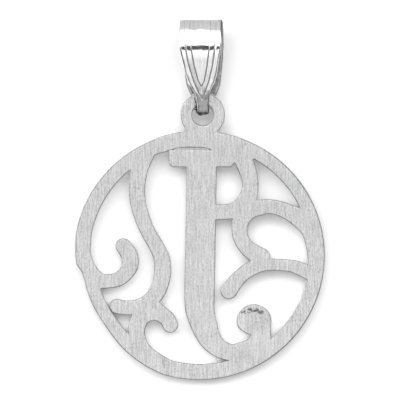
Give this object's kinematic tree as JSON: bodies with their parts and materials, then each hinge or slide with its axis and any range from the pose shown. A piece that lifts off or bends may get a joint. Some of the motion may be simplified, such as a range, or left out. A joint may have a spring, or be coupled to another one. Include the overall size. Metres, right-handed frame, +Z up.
{
  "type": "initial pendant",
  "caption": "Pierced silver disc pendant with a letter among scrolls, an eyelet at its top, and a loose fluted strap bail that hangs it on a chain.",
  "frame": {"origin": "centre of the bottom of the bounding box, on the surface that the pendant lies on", "axes": "+Z up out of the surface, towards the pendant's back; +Y from the disc to the bail; +X to the right seen from the back"},
  "size_m": [0.0188, 0.0276, 0.0043],
  "materials": {
    "satin_silver": "satin silver with fine brush lines along the letter's stem",
    "polished_silver": "polished silver"
  },
  "bodies": {
    "disc": {"initial_disc": "satin_silver"},
    "bail": {"bail": "polished_silver"}
  },
  "joints": [
    {"name": "bail_swing", "type": "hinge", "parent": "disc", "child": "bail", "pos_m": [0.00025, 0.00773, 0.00128], "axis": [1, 0, 0], "range_deg": [0, 93]}
  ]
}
